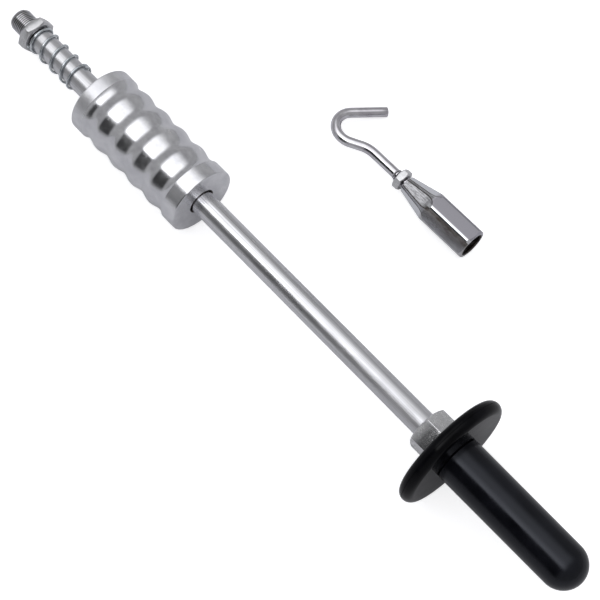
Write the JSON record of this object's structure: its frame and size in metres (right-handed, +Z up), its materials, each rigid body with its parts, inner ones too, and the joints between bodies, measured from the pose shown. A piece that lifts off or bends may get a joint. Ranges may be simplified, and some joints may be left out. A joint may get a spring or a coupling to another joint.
{
  "type": "slide hammer",
  "caption": "Slide hammer for pulling: a ribbed weight slides along a threaded rod between a bumper spring and a stop nut, with a hand guard, a grip and a separate screw-on hook.",
  "frame": {"origin": "on the surface that the tool lies on, under the middle of the box round the hammer and its hook attachment", "axes": "+X runs along the hammer from its threaded tip to its grip, seen from above; the hook attachment lies on the +Y side; +Z is up"},
  "size_m": [0.5048, 0.1772, 0.0778],
  "materials": {
    "bright_steel": "bright drawn and ground, finely streaked along the rod",
    "polished_steel": "turned and polished, satin bright",
    "zinc_plate": "dull zinc plate",
    "spring_steel": "bright plated wire",
    "chrome_plate": "bright nickel chrome plate",
    "dark_steel": "plain turned steel, hidden in the grip",
    "black_rubber": "smooth moulded rubber, semi-gloss",
    "black_gloss": "moulded, glossy on its faces"
  },
  "bodies": {
    "hammer": {"slide_rod": "bright_steel", "rear_stop_nut": "zinc_plate", "hand_guard": "black_gloss", "grip": "black_rubber", "grip_core": "dark_steel"},
    "weight": {"slide_weight": "polished_steel"},
    "spring": {"bumper_spring": "spring_steel"},
    "front_nut": {"front_stop_nut": "zinc_plate"},
    "hook_set": {"hook_socket": "chrome_plate"},
    "hook": {"hook_rod": "chrome_plate"},
    "jam_nut": {"hook_jam_nut": "zinc_plate"}
  },
  "joints": [
    {"name": "weight_slide", "type": "slide", "parent": "hammer", "child": "weight", "axis": [0.9988, 0, 0.0488], "range_m": [-0.0202, 0.1979]},
    {"name": "spring_compress", "type": "slide", "parent": "hammer", "child": "spring", "axis": [0.9988, 0, 0.0488], "range_m": [-0.03, 0], "stiffness_N_per_m": 2700, "deforming": ["bumper_spring"]},
    {"name": "front_nut_turn", "type": "hinge", "parent": "hammer", "child": "front_nut", "pos_m": [-0.23426, -0.0497, 0.02021], "axis": [0.9988, 0, 0.0488], "range_deg": [-180, 180]},
    {"name": "hook_lift", "type": "slide", "parent": "hammer", "child": "hook_set", "axis": [0, 0, 1], "range_m": [0, 0.1]},
    {"name": "hook_swivel", "type": "hinge", "parent": "hook_set", "child": "hook", "pos_m": [0.00067, 0.0581, 0.01107], "axis": [0.9998, 0.0209, 0], "range_deg": [-180, 180]},
    {"name": "jam_nut_turn", "type": "hinge", "parent": "hook", "child": "jam_nut", "pos_m": [-0.00263, 0.05803, 0.01107], "axis": [0.9998, 0.0209, 0], "range_deg": [-180, 180]}
  ]
}
